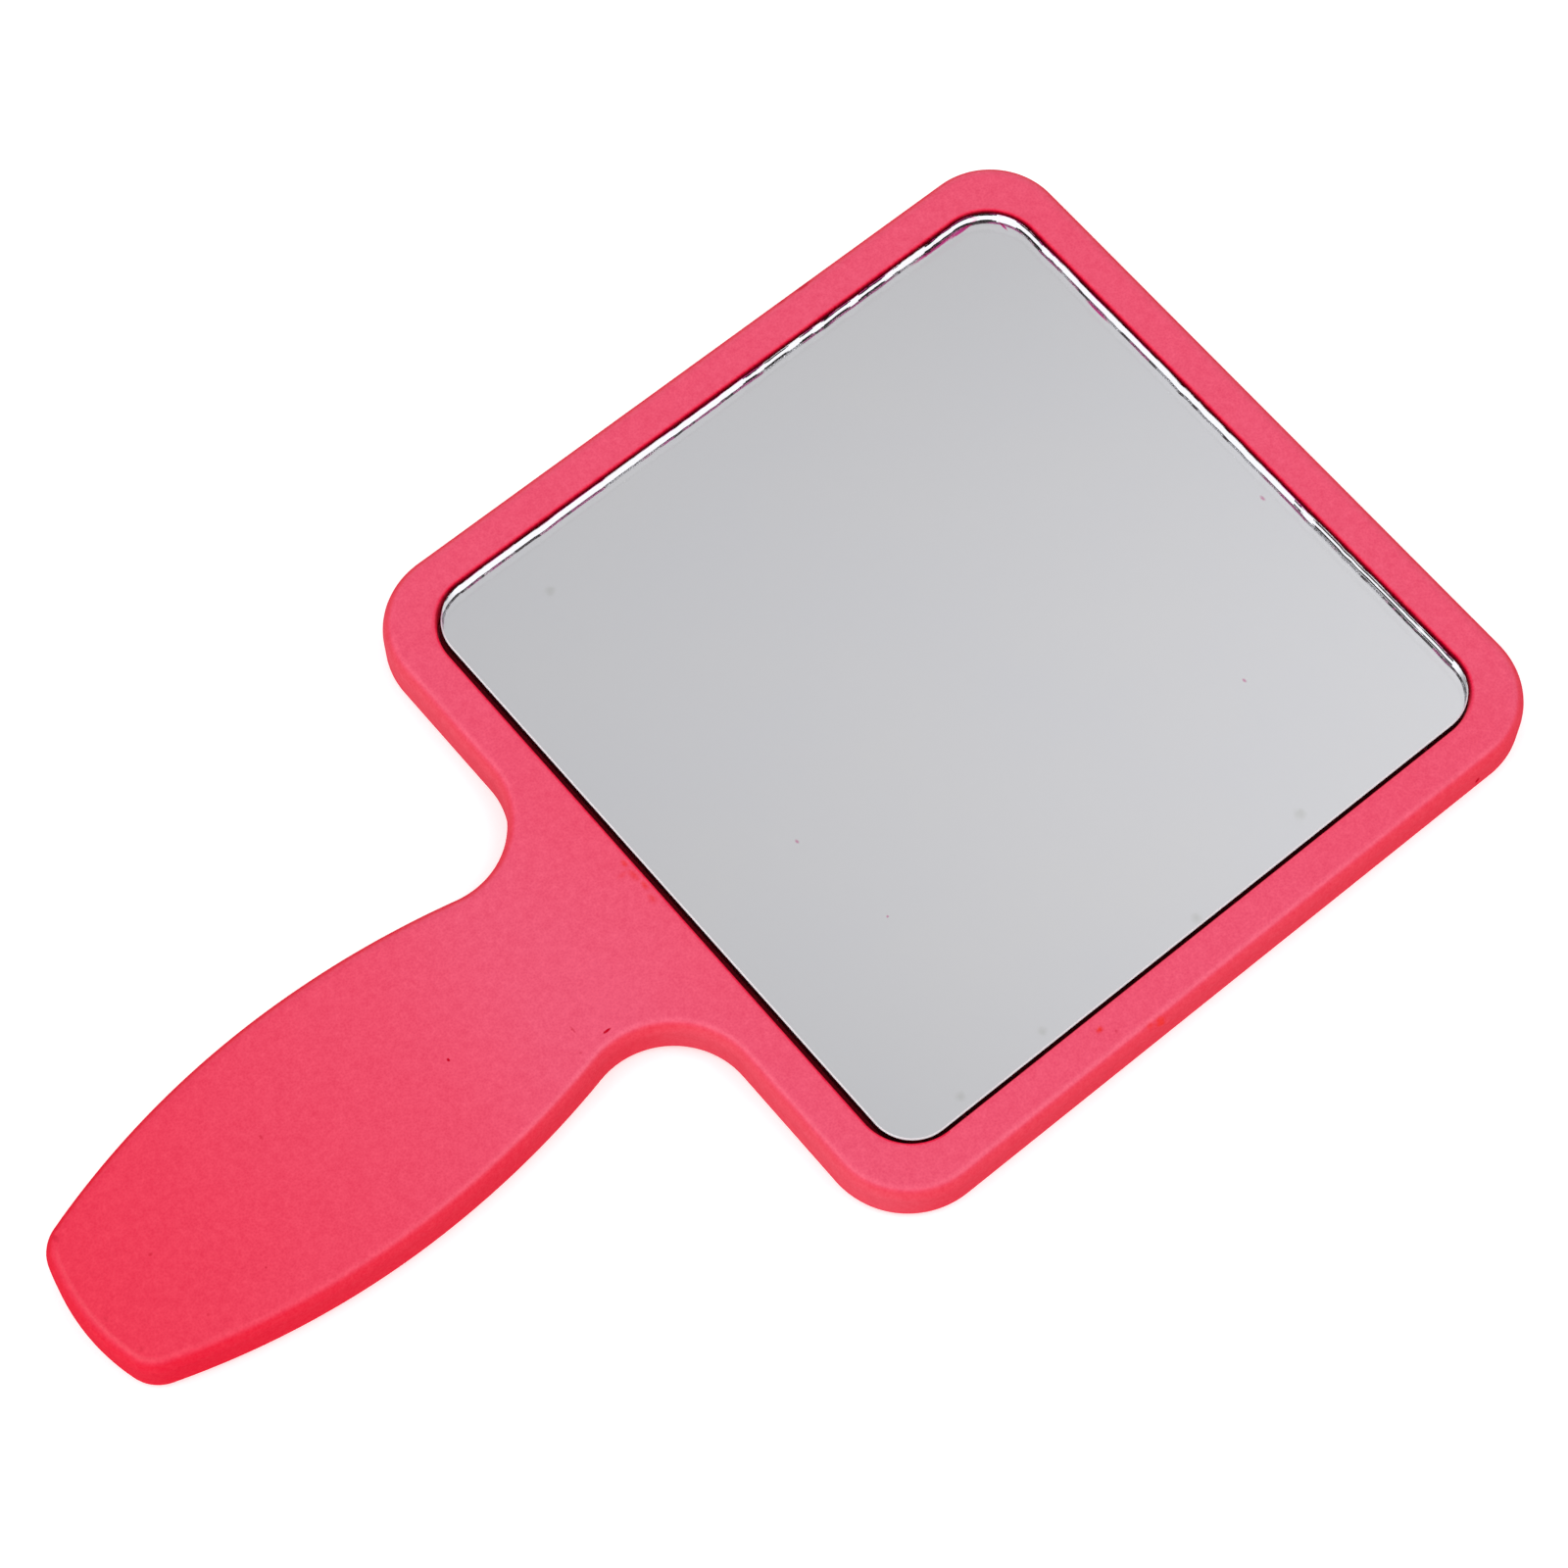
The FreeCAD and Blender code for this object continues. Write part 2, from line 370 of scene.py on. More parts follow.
def grade(tree, value, start, end, low=0.0, high=1.0, **settings):
    """Carries a value from start and end to low and high, and holds it there beyond them."""
    return node(tree, "ShaderNodeMapRange", {"Value": value, "From Min": start, "From Max": end,
                "To Min": low, "To Max": high}, **settings)


def ease(tree, value, start, end, low=0.0, high=1.0):
    """Grades a value, but slows softly into both ends."""
    return grade(tree, value, start, end, low, high, interpolation_type='SMOOTHSTEP')


def blend_levels(tree, share, first, second):
    """Goes from the first level to the second by a share."""
    return node(tree, "ShaderNodeMix", {0: share, 2: first, 3: second}, data_type='FLOAT')


def blend_colours(tree, share, first, second, **settings):
    """Goes from the first colour to the second by a share."""
    return node(tree, "ShaderNodeMix", {0: share, 6: first, 7: second}, data_type='RGBA',
                **settings)


def brighten(tree, colour, share):
    """Multiplies a colour by a share near 1."""
    return node(tree, "ShaderNodeVectorMath", {0: colour, "Scale": share}, operation='SCALE')


def colour_curve(tree, value, stops):
    """Blend of colours along a value, from pairs of position and colour."""
    curve = node(tree, "ShaderNodeValToRGB", {0: value})
    elements = curve.color_ramp.elements
    elements[0].position, elements[1].position = stops[0][0], stops[-1][0]
    for position, _ in stops[1:-1]:
        elements.new(position)
    for element, (_, colour) in zip(elements, stops):
        element.color = colour
    return curve


def level_curve(tree, value, stops):
    """Blend of levels along a value, from pairs of position and level."""
    return colour_curve(tree, value, [(where, (level, level, level, 1)) for where, level in stops])


# Fine grain: tiny round cells over a softer unevenness, as a height and as a tone near 1.
grain_group, gin, gout = effect_group(
    "fine grain",
    [("Vector", "NodeSocketVector", None), ("Cells per metre", "NodeSocketFloat", 2500.0),
     ("Unevenness", "NodeSocketFloat", 0.5), ("Tone", "NodeSocketFloat", 0.05)],
    [("Height", "NodeSocketFloat"), ("Tone", "NodeSocketFloat")])
cells = node(grain_group, "ShaderNodeTexVoronoi", {"Vector": gin.outputs["Vector"],
             "Scale": gin.outputs["Cells per metre"], "Randomness": 1.0}, feature='SMOOTH_F1')
cells.inputs["Smoothness"].default_value = 0.6
swell_scale = reckon(grain_group, 'MULTIPLY', gin.outputs["Cells per metre"], 0.3)
swell = node(grain_group, "ShaderNodeTexNoise", {"Vector": gin.outputs["Vector"],
             "Scale": swell_scale.outputs[0], "Detail": 3.0, "Roughness": 0.6})
mixed = blend_levels(grain_group, gin.outputs["Unevenness"], cells.outputs["Distance"],
                     swell.outputs["Fac"])
lifted = reckon(grain_group, 'SUBTRACT', mixed.outputs[0], 0.5)
toned = reckon(grain_group, 'MULTIPLY_ADD', lifted.outputs[0], gin.outputs["Tone"], 1.0)
grain_group.links.new(mixed.outputs[0], gout.inputs["Height"])
grain_group.links.new(toned.outputs[0], gout.inputs["Tone"])

# Blemish: a soft ragged spot round one place, as a mask.
blemish_group, gin, gout = effect_group(
    "blemish",
    [("Vector", "NodeSocketVector", None), ("Place", "NodeSocketVector", None),
     ("Stretch", "NodeSocketVector", (1.0, 1.0, 1.0)), ("Radius", "NodeSocketFloat", 0.001),
     ("Softness", "NodeSocketFloat", 0.5), ("Raggedness", "NodeSocketFloat", 0.5)],
    [("Mask", "NodeSocketFloat")])
ragged_scale = reckon(blemish_group, 'DIVIDE', 1.6, gin.outputs["Radius"])
ragged = node(blemish_group, "ShaderNodeTexNoise", {"Vector": gin.outputs["Vector"],
              "Scale": ragged_scale.outputs[0], "Detail": 3.0})
away = node(blemish_group, "ShaderNodeVectorMath", {0: gin.outputs["Vector"],
            1: gin.outputs["Place"]}, operation='SUBTRACT')
shaped = node(blemish_group, "ShaderNodeVectorMath", {0: away.outputs[0],
              1: gin.outputs["Stretch"]}, operation='MULTIPLY')
distance = node(blemish_group, "ShaderNodeVectorMath", {0: shaped.outputs[0]}, operation='LENGTH')
near = reckon(blemish_group, 'DIVIDE', distance.outputs["Value"], gin.outputs["Radius"])
swing = reckon(blemish_group, 'SUBTRACT', ragged.outputs["Fac"], 0.5)
warped = reckon(blemish_group, 'MULTIPLY_ADD', swing.outputs[0], gin.outputs["Raggedness"],
                near.outputs[0])
inner = reckon(blemish_group, 'SUBTRACT', 1.0, gin.outputs["Softness"])
mask = ease(blemish_group, warped.outputs[0], inner.outputs[0], 1.0, 1.0, 0.0)
blemish_group.links.new(mask.outputs[0], gout.inputs["Mask"])

# Reach: how far out a place lies from a rounded square's corner centres, seen from above.
reach_group, gin, gout = effect_group(
    "reach",
    [("Vector", "NodeSocketVector", None), ("Middle", "NodeSocketVector", None),
     ("Corner centre", "NodeSocketVector", None)],
    [("Reach", "NodeSocketFloat")])
away = node(reach_group, "ShaderNodeVectorMath", {0: gin.outputs["Vector"],
            1: gin.outputs["Middle"]}, operation='SUBTRACT')
level_away = node(reach_group, "ShaderNodeVectorMath", {0: away.outputs[0], 1: (1.0, 1.0, 0.0)},
                  operation='MULTIPLY')
folded = node(reach_group, "ShaderNodeVectorMath", {0: level_away.outputs[0]},
              operation='ABSOLUTE')
corner_way = node(reach_group, "ShaderNodeVectorMath", {0: folded.outputs[0],
                  1: gin.outputs["Corner centre"]}, operation='SUBTRACT')
outside = node(reach_group, "ShaderNodeVectorMath", {0: corner_way.outputs[0],
               1: (0.0, 0.0, 0.0)}, operation='MAXIMUM')
reach = node(reach_group, "ShaderNodeVectorMath", {0: outside.outputs[0]}, operation='LENGTH')
reach_group.links.new(reach.outputs["Value"], gout.inputs["Reach"])

# Far sides: 0 on the near and right of the head, 1 on the far and left, easing at the corners.
far_group, gin, gout = effect_group("far sides", [("Vector", "NodeSocketVector", None)],
                                    [("Mask", "NodeSocketFloat")])
place = node(far_group, "ShaderNodeSeparateXYZ", {0: gin.outputs["Vector"]})
across = reckon(far_group, 'SUBTRACT', place.outputs["Y"], place.outputs["X"])
eased = ease(far_group, across.outputs[0], -side_ease, side_ease)
far_group.links.new(eased.outputs[0], gout.inputs["Mask"])

foam, tree, coords = new_material("red_foam_skin")
grain = place_group(tree, grain_group, {"Vector": coords.outputs["Object"],
                    "Cells per metre": 2400.0, "Unevenness": 0.6, "Tone": 0.2})
mottle = node(tree, "ShaderNodeTexNoise", {"Vector": coords.outputs["Object"], "Scale": 160.0,
              "Detail": 5.0, "Roughness": 0.7})
cloud = node(tree, "ShaderNodeTexNoise", {"Vector": coords.outputs["Object"], "Scale": 22.0,
             "Detail": 2.0})
facing = node(tree, "ShaderNodeSeparateXYZ", {0: coords.outputs["Normal"]})
upward = ease(tree, facing.outputs["Z"], 0.72, 0.97)
place = node(tree, "ShaderNodeSeparateXYZ", {0: coords.outputs["Object"]})
# Painted light: the bloom and its painted sheen fade from the head towards the end of the handle.
along = grade(tree, place.outputs["Y"], falloff_low_y, falloff_high_y)
painted_falloff_tops = level_curve(tree, along.outputs[0], (
    (0.02, 0.0), (0.12, 0.24), (0.21, 0.48), (0.27, 0.64), (0.34, 0.92), (0.38, 0.97),
    (0.47, 0.8)))
painted_falloff_walls = level_curve(tree, along.outputs[0], (
    (0.05, 0.2), (0.1, 0.26), (0.18, 0.44), (0.275, 0.5), (0.346, 0.76), (0.4, 0.83)))
painted_falloff = blend_levels(tree, upward.outputs[0], painted_falloff_walls.outputs[0], painted_falloff_tops.outputs[0])
# Painted sheen: the bloom is fuller on faces that look up and on walls that face the near side.
painted_near_sheen = ease(tree, facing.outputs["Y"], -0.95, -0.2, 1.0, 0.6)
sheen_facing = reckon(tree, 'MAXIMUM', upward.outputs[0], painted_near_sheen.outputs[0])
bloom_and_sheen = reckon(tree, 'MULTIPLY', sheen_facing.outputs[0], painted_falloff.outputs[0])
uneven = grade(tree, cloud.outputs["Fac"], 0.3, 0.7, 0.94, 1.06)
bloom_and_sheen = reckon(tree, 'MULTIPLY', bloom_and_sheen.outputs[0], uneven.outputs[0])
dusty = grade(tree, grain.outputs["Height"], 0.0, 1.0, 0.8, 1.2)
bloom_and_sheen = reckon(tree, 'MULTIPLY', bloom_and_sheen.outputs[0], dusty.outputs[0])
reach = place_group(tree, reach_group, {"Vector": coords.outputs["Object"], "Corner centre":
                    (window_half_width - window_corner, window_half_length - window_corner, 0.0)})
far_sides = place_group(tree, far_group, {"Vector": coords.outputs["Object"]})
lip = ease(tree, reach.outputs[0], window_corner + 0.4 * mm, window_corner + 1.1 * mm, 1.0, 0.0)
rubbed = grade(tree, far_sides.outputs[0], 0.0, 1.0, 0.12)
on_front = reckon(tree, 'GREATER_THAN', place.outputs["Z"], rear_thickness)
rubbed = reckon(tree, 'MULTIPLY', rubbed.outputs[0], on_front.outputs[0])
lip = reckon(tree, 'MULTIPLY', lip.outputs[0], rubbed.outputs[0])
cut_lip = ease(tree, reach.outputs[0], window_corner + 0.25 * mm, window_corner + 0.5 * mm,
               0.8, 0.0)
handle_side = reckon(tree, 'LESS_THAN', place.outputs["Y"], window_corner - window_half_length)
cut_lip = reckon(tree, 'MULTIPLY', cut_lip.outputs[0], handle_side.outputs[0])
cut_lip = reckon(tree, 'MULTIPLY', cut_lip.outputs[0], on_front.outputs[0])
lip = reckon(tree, 'MAXIMUM', lip.outputs[0], cut_lip.outputs[0])
matt = reckon(tree, 'SUBTRACT', 1.0, lip.outputs[0])
bloom_and_sheen = reckon(tree, 'MULTIPLY', bloom_and_sheen.outputs[0], matt.outputs[0])
# The far and left sides get 12% more of the bloom and its painted sheen.
far_bloom_boost = grade(tree, far_sides.outputs[0], 0.0, 1.0, 1.0, 1.12)
bloom_and_sheen = reckon(tree, 'MULTIPLY', bloom_and_sheen.outputs[0], far_bloom_boost.outputs[0])
sheen = reckon(tree, 'MULTIPLY', upward.outputs[0], matt.outputs[0])
walls = blend_colours(tree, bloom_and_sheen.outputs[0], shaded_wall_red, bloom_and_sheen_wall_red)
# Painted shade: the walls turn redder and less pale towards the table.
depth = grade(tree, place.outputs["Z"], 0.0, 8 * mm)
painted_low_shade = blend_colours(tree, depth.outputs[0], (1.07, 0.93, 0.96, 1), (1.0, 1.0, 1.0, 1))
walls = blend_colours(tree, 1.0, walls.outputs[2], painted_low_shade.outputs[2], blend_type='MULTIPLY')
tops = blend_colours(tree, bloom_and_sheen.outputs[0], clean_red, bloom_and_sheen_red)
skin = blend_colours(tree, upward.outputs[0], walls.outputs[2], tops.outputs[2])
# Painted shade: the foam darkens to a deep red in the crevice where the pane leans on the far and
# left lips.
crevice = ease(tree, reach.outputs[0], window_corner + 0.1 * mm, window_corner + 0.65 * mm,
               1.0, 0.0)
leaned_on = reckon(tree, 'MULTIPLY', far_sides.outputs[0], on_front.outputs[0])
painted_crevice_shade = reckon(tree, 'MULTIPLY', crevice.outputs[0], leaned_on.outputs[0])
skin = blend_colours(tree, painted_crevice_shade.outputs[0], skin.outputs[2], painted_gap_red)

# Marks of use: specks and short cuts, bruised dark, and scuffs worn to orange. Each has its
# place and radius in millimetres, and its stretch, strength and softness.
face_z = 10.2
for colour, marks in (
        (bruised_red, (((3.1, -115.8, face_z), 0.45, (1.0, 1.3, 1.0), 1.0, 0.6),
                       ((-6.2, -148.9, face_z), 0.6, (0.7, 1.2, 1.0), 0.45, 0.8),
                       ((-1.5, -175.7, face_z), 0.5, (1.3, 0.8, 1.0), 0.5, 0.8),
                       ((-14.2, -186.3, 10.0), 1.3, (1.0, 2.2, 1.0), 0.45, 0.8),
                       ((12.8, -162.2, face_z), 0.35, (1.0, 1.0, 1.0), 0.5, 0.8),
                       ((13.2, -174.6, face_z), 0.4, (1.0, 1.0, 1.0), 0.35, 0.8),
                       ((2.8, -188.2, face_z), 0.9, (1.0, 1.6, 1.0), 0.25, 1.0),
                       ((10.8, -186.8, face_z), 1.2, (1.4, 1.0, 1.0), 0.25, 1.0),
                       ((16.3, -91.7, face_z), 1.0, (3.4, 1.0, 1.0), 1.0, 0.4),
                       ((12.4, -96.0, face_z), 0.9, (1.0, 3.0, 1.0), 0.5, 0.7),
                       ((16.6, -97.7, face_z), 0.4, (1.0, 1.0, 1.0), 0.35, 0.8),
                       ((72.3, -24.6, face_z), 0.45, (1.0, 1.0, 1.0), 0.35, 0.8),
                       ((76.2, 57.4, 4.7), 1.4, (1.0, 2.4, 1.0), 1.0, 0.5),
                       ((-75.4, 28.6, 9.6), 2.6, (2.6, 1.0, 2.6), 0.6, 0.6),
                       ((-75.4, 23.5, 9.6), 1.4, (2.2, 1.0, 2.2), 0.4, 0.6))),
        (worn_orange, (((-6.0, -69.8, face_z), 1.3, (1.0, 1.6, 1.0), 0.8, 1.0),
                       ((-3.3, -69.8, face_z), 2.0, (1.0, 2.0, 1.0), 0.7, 1.0),
                       ((-4.6, -71.2, face_z), 1.6, (2.2, 1.0, 1.0), 0.35, 1.0),
                       ((-0.4, -69.6, face_z), 1.6, (1.0, 2.0, 1.0), 0.7, 1.0),
                       ((2.2, -70.2, face_z), 1.5, (1.0, 1.4, 1.0), 0.6, 1.0),
                       ((70.3, -26.7, face_z), 1.2, (1.4, 1.0, 1.0), 1.0, 1.0),
                       ((75.1, -19.4, 9.6), 1.0, (1.0, 1.0, 1.0), 0.6, 1.0),
                       ((75.6, -17.3, 9.2), 1.3, (1.0, 1.0, 1.0), 1.0, 0.8)))):
    for (x, y, z), radius, stretch, strength, softness in marks:
        mark = place_group(tree, blemish_group, {"Vector": coords.outputs["Object"],
                           "Place": (x * mm, y * mm, z * mm), "Stretch": stretch,
                           "Radius": radius * mm, "Softness": softness, "Raggedness": 0.9})
        shown = reckon(tree, 'MULTIPLY', mark.outputs[0], strength)
        skin = blend_colours(tree, shown.outputs[0], skin.outputs[2], colour)
        kept = reckon(tree, 'SUBTRACT', 1.0, shown.outputs[0])
        sheen = reckon(tree, 'MULTIPLY', sheen.outputs[0], kept.outputs[0])
evened = grade(tree, upward.outputs[0], 0.0, 1.0, 0.5)
skin_tone = blend_levels(tree, evened.outputs[0], 1.0, grain.outputs["Tone"])
speckled = brighten(tree, skin.outputs[2], skin_tone.outputs[0])
powder = reckon(tree, 'MULTIPLY_ADD', skin_tone.outputs[0], powder_share, -powder_share)
speckled = node(tree, "ShaderNodeVectorMath", {0: speckled.outputs[0], 1: powder.outputs[0]},
                operation='ADD')
mottled_tone = grade(tree, mottle.outputs["Fac"], 0.3, 0.7, 0.994, 1.006)
mottled = brighten(tree, speckled.outputs[0], mottled_tone.outputs[0])
roughness = grade(tree, mottle.outputs["Fac"], 0.3, 0.7, 0.5, 0.58)
bump = node(tree, "ShaderNodeBump", {"Height": grain.outputs["Height"], "Distance": 0.00006,
            "Strength": 0.5})
shader = node(tree, "ShaderNodeBsdfPrincipled", {"Base Color": mottled.outputs[0],
              "Roughness": roughness.outputs[0], "Normal": bump.outputs[0],
              "Specular IOR Level": 0.0, "Coat Weight": sheen.outputs[0],
              "Coat Roughness": 0.4, "Coat IOR": 1.5})
finish_material(tree, shader.outputs[0])
rear_sheet.data.materials.append(foam)
front_sheet.data.materials.append(foam)


# ------------------------------------------------------------------ stiffener core
# A strip of black plastic sheet with rounded ends, let into the rear sheet from the handle to
# the middle of the head, so that the foam neck doesn't sag. The sheets hide it.
def repaint(name, material):
    """Gives a node of the frame its material."""
    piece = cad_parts[name]
    piece.data.materials.clear()
    piece.data.materials.append(material)


core_black = (0.018, 0.018, 0.019)

core_plastic, tree, coords = new_material("black_core_plastic")
grain = place_group(tree, grain_group, {"Vector": coords.outputs["Object"],
                    "Cells per metre": 1200.0, "Unevenness": 0.8, "Tone": 0.3})
tinted = brighten(tree, core_black, grain.outputs["Tone"])
bump = node(tree, "ShaderNodeBump", {"Height": grain.outputs["Height"], "Distance": 0.00005,
            "Strength": 0.4})
shader = node(tree, "ShaderNodeBsdfPrincipled", {"Base Color": tinted.outputs[0],
              "Roughness": 0.55, "Normal": bump.outputs[0]})
finish_material(tree, shader.outputs[0])
repaint("stiffener_core", core_plastic)


# ------------------------------------------------------------------ glue film
# Contact adhesive rolled on both sheets of foam, dried to an amber, slightly lumpy film and
# pressed together. It stops short of the edges, so no line of it shows.
deep_amber = (0.42, 0.25, 0.08, 1)
thin_amber = (0.7, 0.5, 0.24, 1)

glue, tree, coords = new_material("amber_glue")
lumps = node(tree, "ShaderNodeTexNoise", {"Vector": coords.outputs["Object"], "Scale": 300.0,
             "Detail": 4.0})
amber = colour_curve(tree, lumps.outputs["Fac"], ((0.0, deep_amber), (1.0, thin_amber)))
bump = node(tree, "ShaderNodeBump", {"Height": lumps.outputs["Fac"], "Distance": 0.0001,
            "Strength": 0.5})
shader = node(tree, "ShaderNodeBsdfPrincipled", {"Base Color": amber.outputs[0],
              "Roughness": 0.35, "Normal": bump.outputs[0]})
finish_material(tree, shader.outputs[0])
repaint("laminating_adhesive", glue)


# ------------------------------------------------------------------ foam tape
# Black double-sided tape in straight strips, which sticks the pane to the rear sheet. In the gap
# that the pane leaves uncovered it is painted dark red, a painted reflection of the red foam
# walls.
pane_low, pane_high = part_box("mirror_pane")
pane_middle = (pane_low + pane_high) / 2
pane_half = (pane_high - pane_low) / 2
pane_corner = 9.2 * mm
pane_corner_centre = (pane_half.x - pane_corner, pane_half.y - pane_corner, 0.0)
tape_black = (0.008, 0.006, 0.007, 1)

tape, tree, coords = new_material("black_foam_tape")
grain = place_group(tree, grain_group, {"Vector": coords.outputs["Object"],
                    "Cells per metre": 3500.0, "Unevenness": 0.3, "Tone": 0.5})
reach = place_group(tree, reach_group, {"Vector": coords.outputs["Object"],
                    "Middle": pane_middle, "Corner centre": pane_corner_centre})
# Painted reflection: the red foam walls' dim light, painted on the tape in the gap.
gap_red_share = grade(tree, reach.outputs[0], pane_corner - 0.6 * mm, pane_corner - 0.1 * mm)
gap_red_tape = blend_colours(tree, gap_red_share.outputs[0], tape_black, painted_gap_red)
tinted = brighten(tree, gap_red_tape.outputs[2], grain.outputs["Tone"])
bump = node(tree, "ShaderNodeBump", {"Height": grain.outputs["Height"], "Distance": 0.0001,
            "Strength": 0.6})
shader = node(tree, "ShaderNodeBsdfPrincipled", {"Base Color": tinted.outputs[0],
              "Roughness": 0.9, "Normal": bump.outputs[0], "Specular IOR Level": 0.1})
finish_material(tree, shader.outputs[0])
repaint("pane_tape", tape)


# ------------------------------------------------------------------ backing paint
# Dark grey paint sprayed on the back of the silver, which keeps it from damp and scratches.
# It has a faint orange peel, and the tape sticks to it.
hollow_grey = (0.05, 0.05, 0.055, 1)
raised_grey = (0.075, 0.075, 0.08, 1)

paint, tree, coords = new_material("grey_backing_paint")
peel = node(tree, "ShaderNodeTexNoise", {"Vector": coords.outputs["Object"], "Scale": 900.0,
            "Detail": 2.0})
greys = colour_curve(tree, peel.outputs["Fac"], ((0.0, hollow_grey), (1.0, raised_grey)))
bump = node(tree, "ShaderNodeBump", {"Height": peel.outputs["Fac"], "Distance": 0.00003,
            "Strength": 0.5})
shader = node(tree, "ShaderNodeBsdfPrincipled", {"Base Color": greys.outputs[0],
              "Roughness": 0.45, "Normal": bump.outputs[0]})
finish_material(tree, shader.outputs[0])
repaint("backing_paint", paint)


# ------------------------------------------------------------------ silver layer
# The reflecting coat on the back of the pane: bright metal, with faint grey spots where damp
# has crept in near the edge, a few pink crumbs and a pink smear along the far left corner. The
# layer's own rim is painted over, as its cut edge is.
silver_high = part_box("silver_layer")[1]
painted_rim = 0.4 * mm
blue_silver = (0.915, 0.914, 0.955, 1)
plain_silver = (0.93, 0.924, 0.952, 1)
rim_black = (0.01, 0.01, 0.01, 1)
damp_grey = (0.81, 0.81, 0.815, 1)
crumb_pink = (0.8, 0.42, 0.58, 1)
smeared_pink = (0.8, 0.03, 0.33, 1)

silver_group, gin, gout = effect_group("silver tone", [("Vector", "NodeSocketVector", None)],
                                       [("Color", "NodeSocketColor")])
haze = node(silver_group, "ShaderNodeTexNoise", {"Vector": gin.outputs["Vector"],
            "Scale": 30.0, "Detail": 5.0, "Roughness": 0.6})
tone = colour_curve(silver_group, haze.outputs["Fac"], ((0.3, blue_silver), (0.7, plain_silver)))
metal = tone.outputs[0]

# Each spot has its place and radius in millimetres, and its stretch.
for colour, softness, spots in (
        (damp_grey, 1.0, ((61.9, 27.6, 1.7, (1, 1, 1)), (65.0, 0.5, 1.5, (1, 1, 1)),
                          (63.7, -33.9, 1.3, (1, 1, 1)), (63.8, -52.4, 1.4, (1, 1, 1)),
                          (-56.6, -46.2, 1.5, (1, 1, 1)))),
        (crumb_pink, 0.8, ((30.4, -40.5, 0.35, (1, 1, 1)), (9.4, -43.5, 0.4, (0.6, 1, 1)),
                           (36.4, 37.5, 0.4, (0.6, 1, 1)), (11.4, 64.5, 0.45, (0.5, 1, 1)))),
        (smeared_pink, 0.6, ((-66.4, 53.0, 0.5, (1, 0.07, 1)), (-66.1, 59.5, 0.5, (1, 0.12, 1)),
                             (-61.9, 65.8, 0.3, (0.2, 1, 1)), (-37.0, 67.2, 0.25, (0.06, 1, 1))))):
    for x, y, radius, stretch in spots:
        spot = place_group(silver_group, blemish_group, {"Vector": gin.outputs["Vector"],
                           "Place": (x * mm, y * mm, silver_high.z), "Radius": radius * mm,
                           "Stretch": stretch, "Softness": softness, "Raggedness": 0.5})
        metal = blend_colours(silver_group, spot.outputs[0], metal, colour).outputs[2]
silver_group.links.new(metal, gout.inputs["Color"])

silver, tree, coords = new_material("silver_with_painted_rim")
tone = place_group(tree, silver_group, {"Vector": coords.outputs["Object"]})
reach = place_group(tree, reach_group, {"Vector": coords.outputs["Object"],
                    "Middle": pane_middle, "Corner centre": pane_corner_centre})
painted = reckon(tree, 'GREATER_THAN', reach.outputs[0], pane_corner - painted_rim)
bright = blend_colours(tree, painted.outputs[0], tone.outputs[0], rim_black)
shader = node(tree, "ShaderNodeBsdfPrincipled", {"Base Color": bright.outputs[2],
              "Metallic": 1.0, "Roughness": 0.0})
finish_material(tree, shader.outputs[0])
repaint("silver_layer", silver)


# ------------------------------------------------------------------ mirror pane
# A rounded square of clear acrylic, nominally 3 mm thick, silvered behind and set flush in the
# window. Its cut edges ripple, and near-black patches on the far and left ones are a painted
# reflection of the dark streaks that show in them. Their front arris is scraped to a thin frosted
# line, flecked on the far and left sides with painted dark and pink reflections.
pane_lift = 0.01 * mm  # holds its silvered underside clear of the silver layer
pane_tight_corner = 8.2 * mm
pane_wide_corner = 10.0 * mm
pane_corner_segments = 20
pane_arris = 0.25 * mm
side_cuts = 180
rise_cuts = 16
ripple_depth = 0.27 * mm
long_ripple = 6.0 * mm
short_ripple = 1.6 * mm
short_ripple_share = 0.35
ripple_rise = 0.1
silvered, scraped, dark_streaked = 1, 2, 3
frost_white = (0.95, 0.94, 0.97, 1)
painted_pink_fleck = (0.7, 0.03, 0.3, 1)
painted_dark_fleck = (0.02, 0.005, 0.01, 1)
painted_streak_dark = (0.02, 0.01, 0.014)
pane_low.z += pane_lift
pane_height = pane_high.z - pane_low.z

bm = bmesh.new()
bmesh.ops.create_grid(bm, x_segments=1, y_segments=1, size=0.5)
bmesh.ops.scale(bm, vec=(pane_high.x - pane_low.x, pane_high.y - pane_low.y, 1), verts=bm.verts[:])
near_right = [v for v in bm.verts if v.co.x > 0 > v.co.y]
far_left = [v for v in bm.verts if v.co.x < 0 < v.co.y]
others = [v for v in bm.verts if v.co.x * v.co.y > 0]
for corners, radius in ((near_right, pane_tight_corner), (far_left, pane_wide_corner),
                        (others, pane_corner)):
    bmesh.ops.bevel(bm, geom=corners, offset=radius, offset_type='OFFSET',
                    segments=pane_corner_segments, profile=0.5, affect='VERTICES', material=-1)
sides = [e for e in bm.edges if e.calc_length() > 10 * mm]
bmesh.ops.subdivide_edges(bm, edges=sides, cuts=side_cuts)
lifted = bmesh.ops.extrude_face_region(bm, geom=bm.faces[:])
risen = [g for g in lifted["geom"] if isinstance(g, bmesh.types.BMVert)]
bmesh.ops.translate(bm, verts=risen, vec=(0, 0, pane_height))
bmesh.ops.recalc_face_normals(bm, faces=bm.faces[:])
round_over(bm, rim_edges(bm, pane_height), pane_arris, 1)
upright = [e for e in bm.edges if abs(e.verts[0].co.z - e.verts[1].co.z) > mm]
bmesh.ops.subdivide_edges(bm, edges=upright, cuts=rise_cuts, use_grid_fill=True)
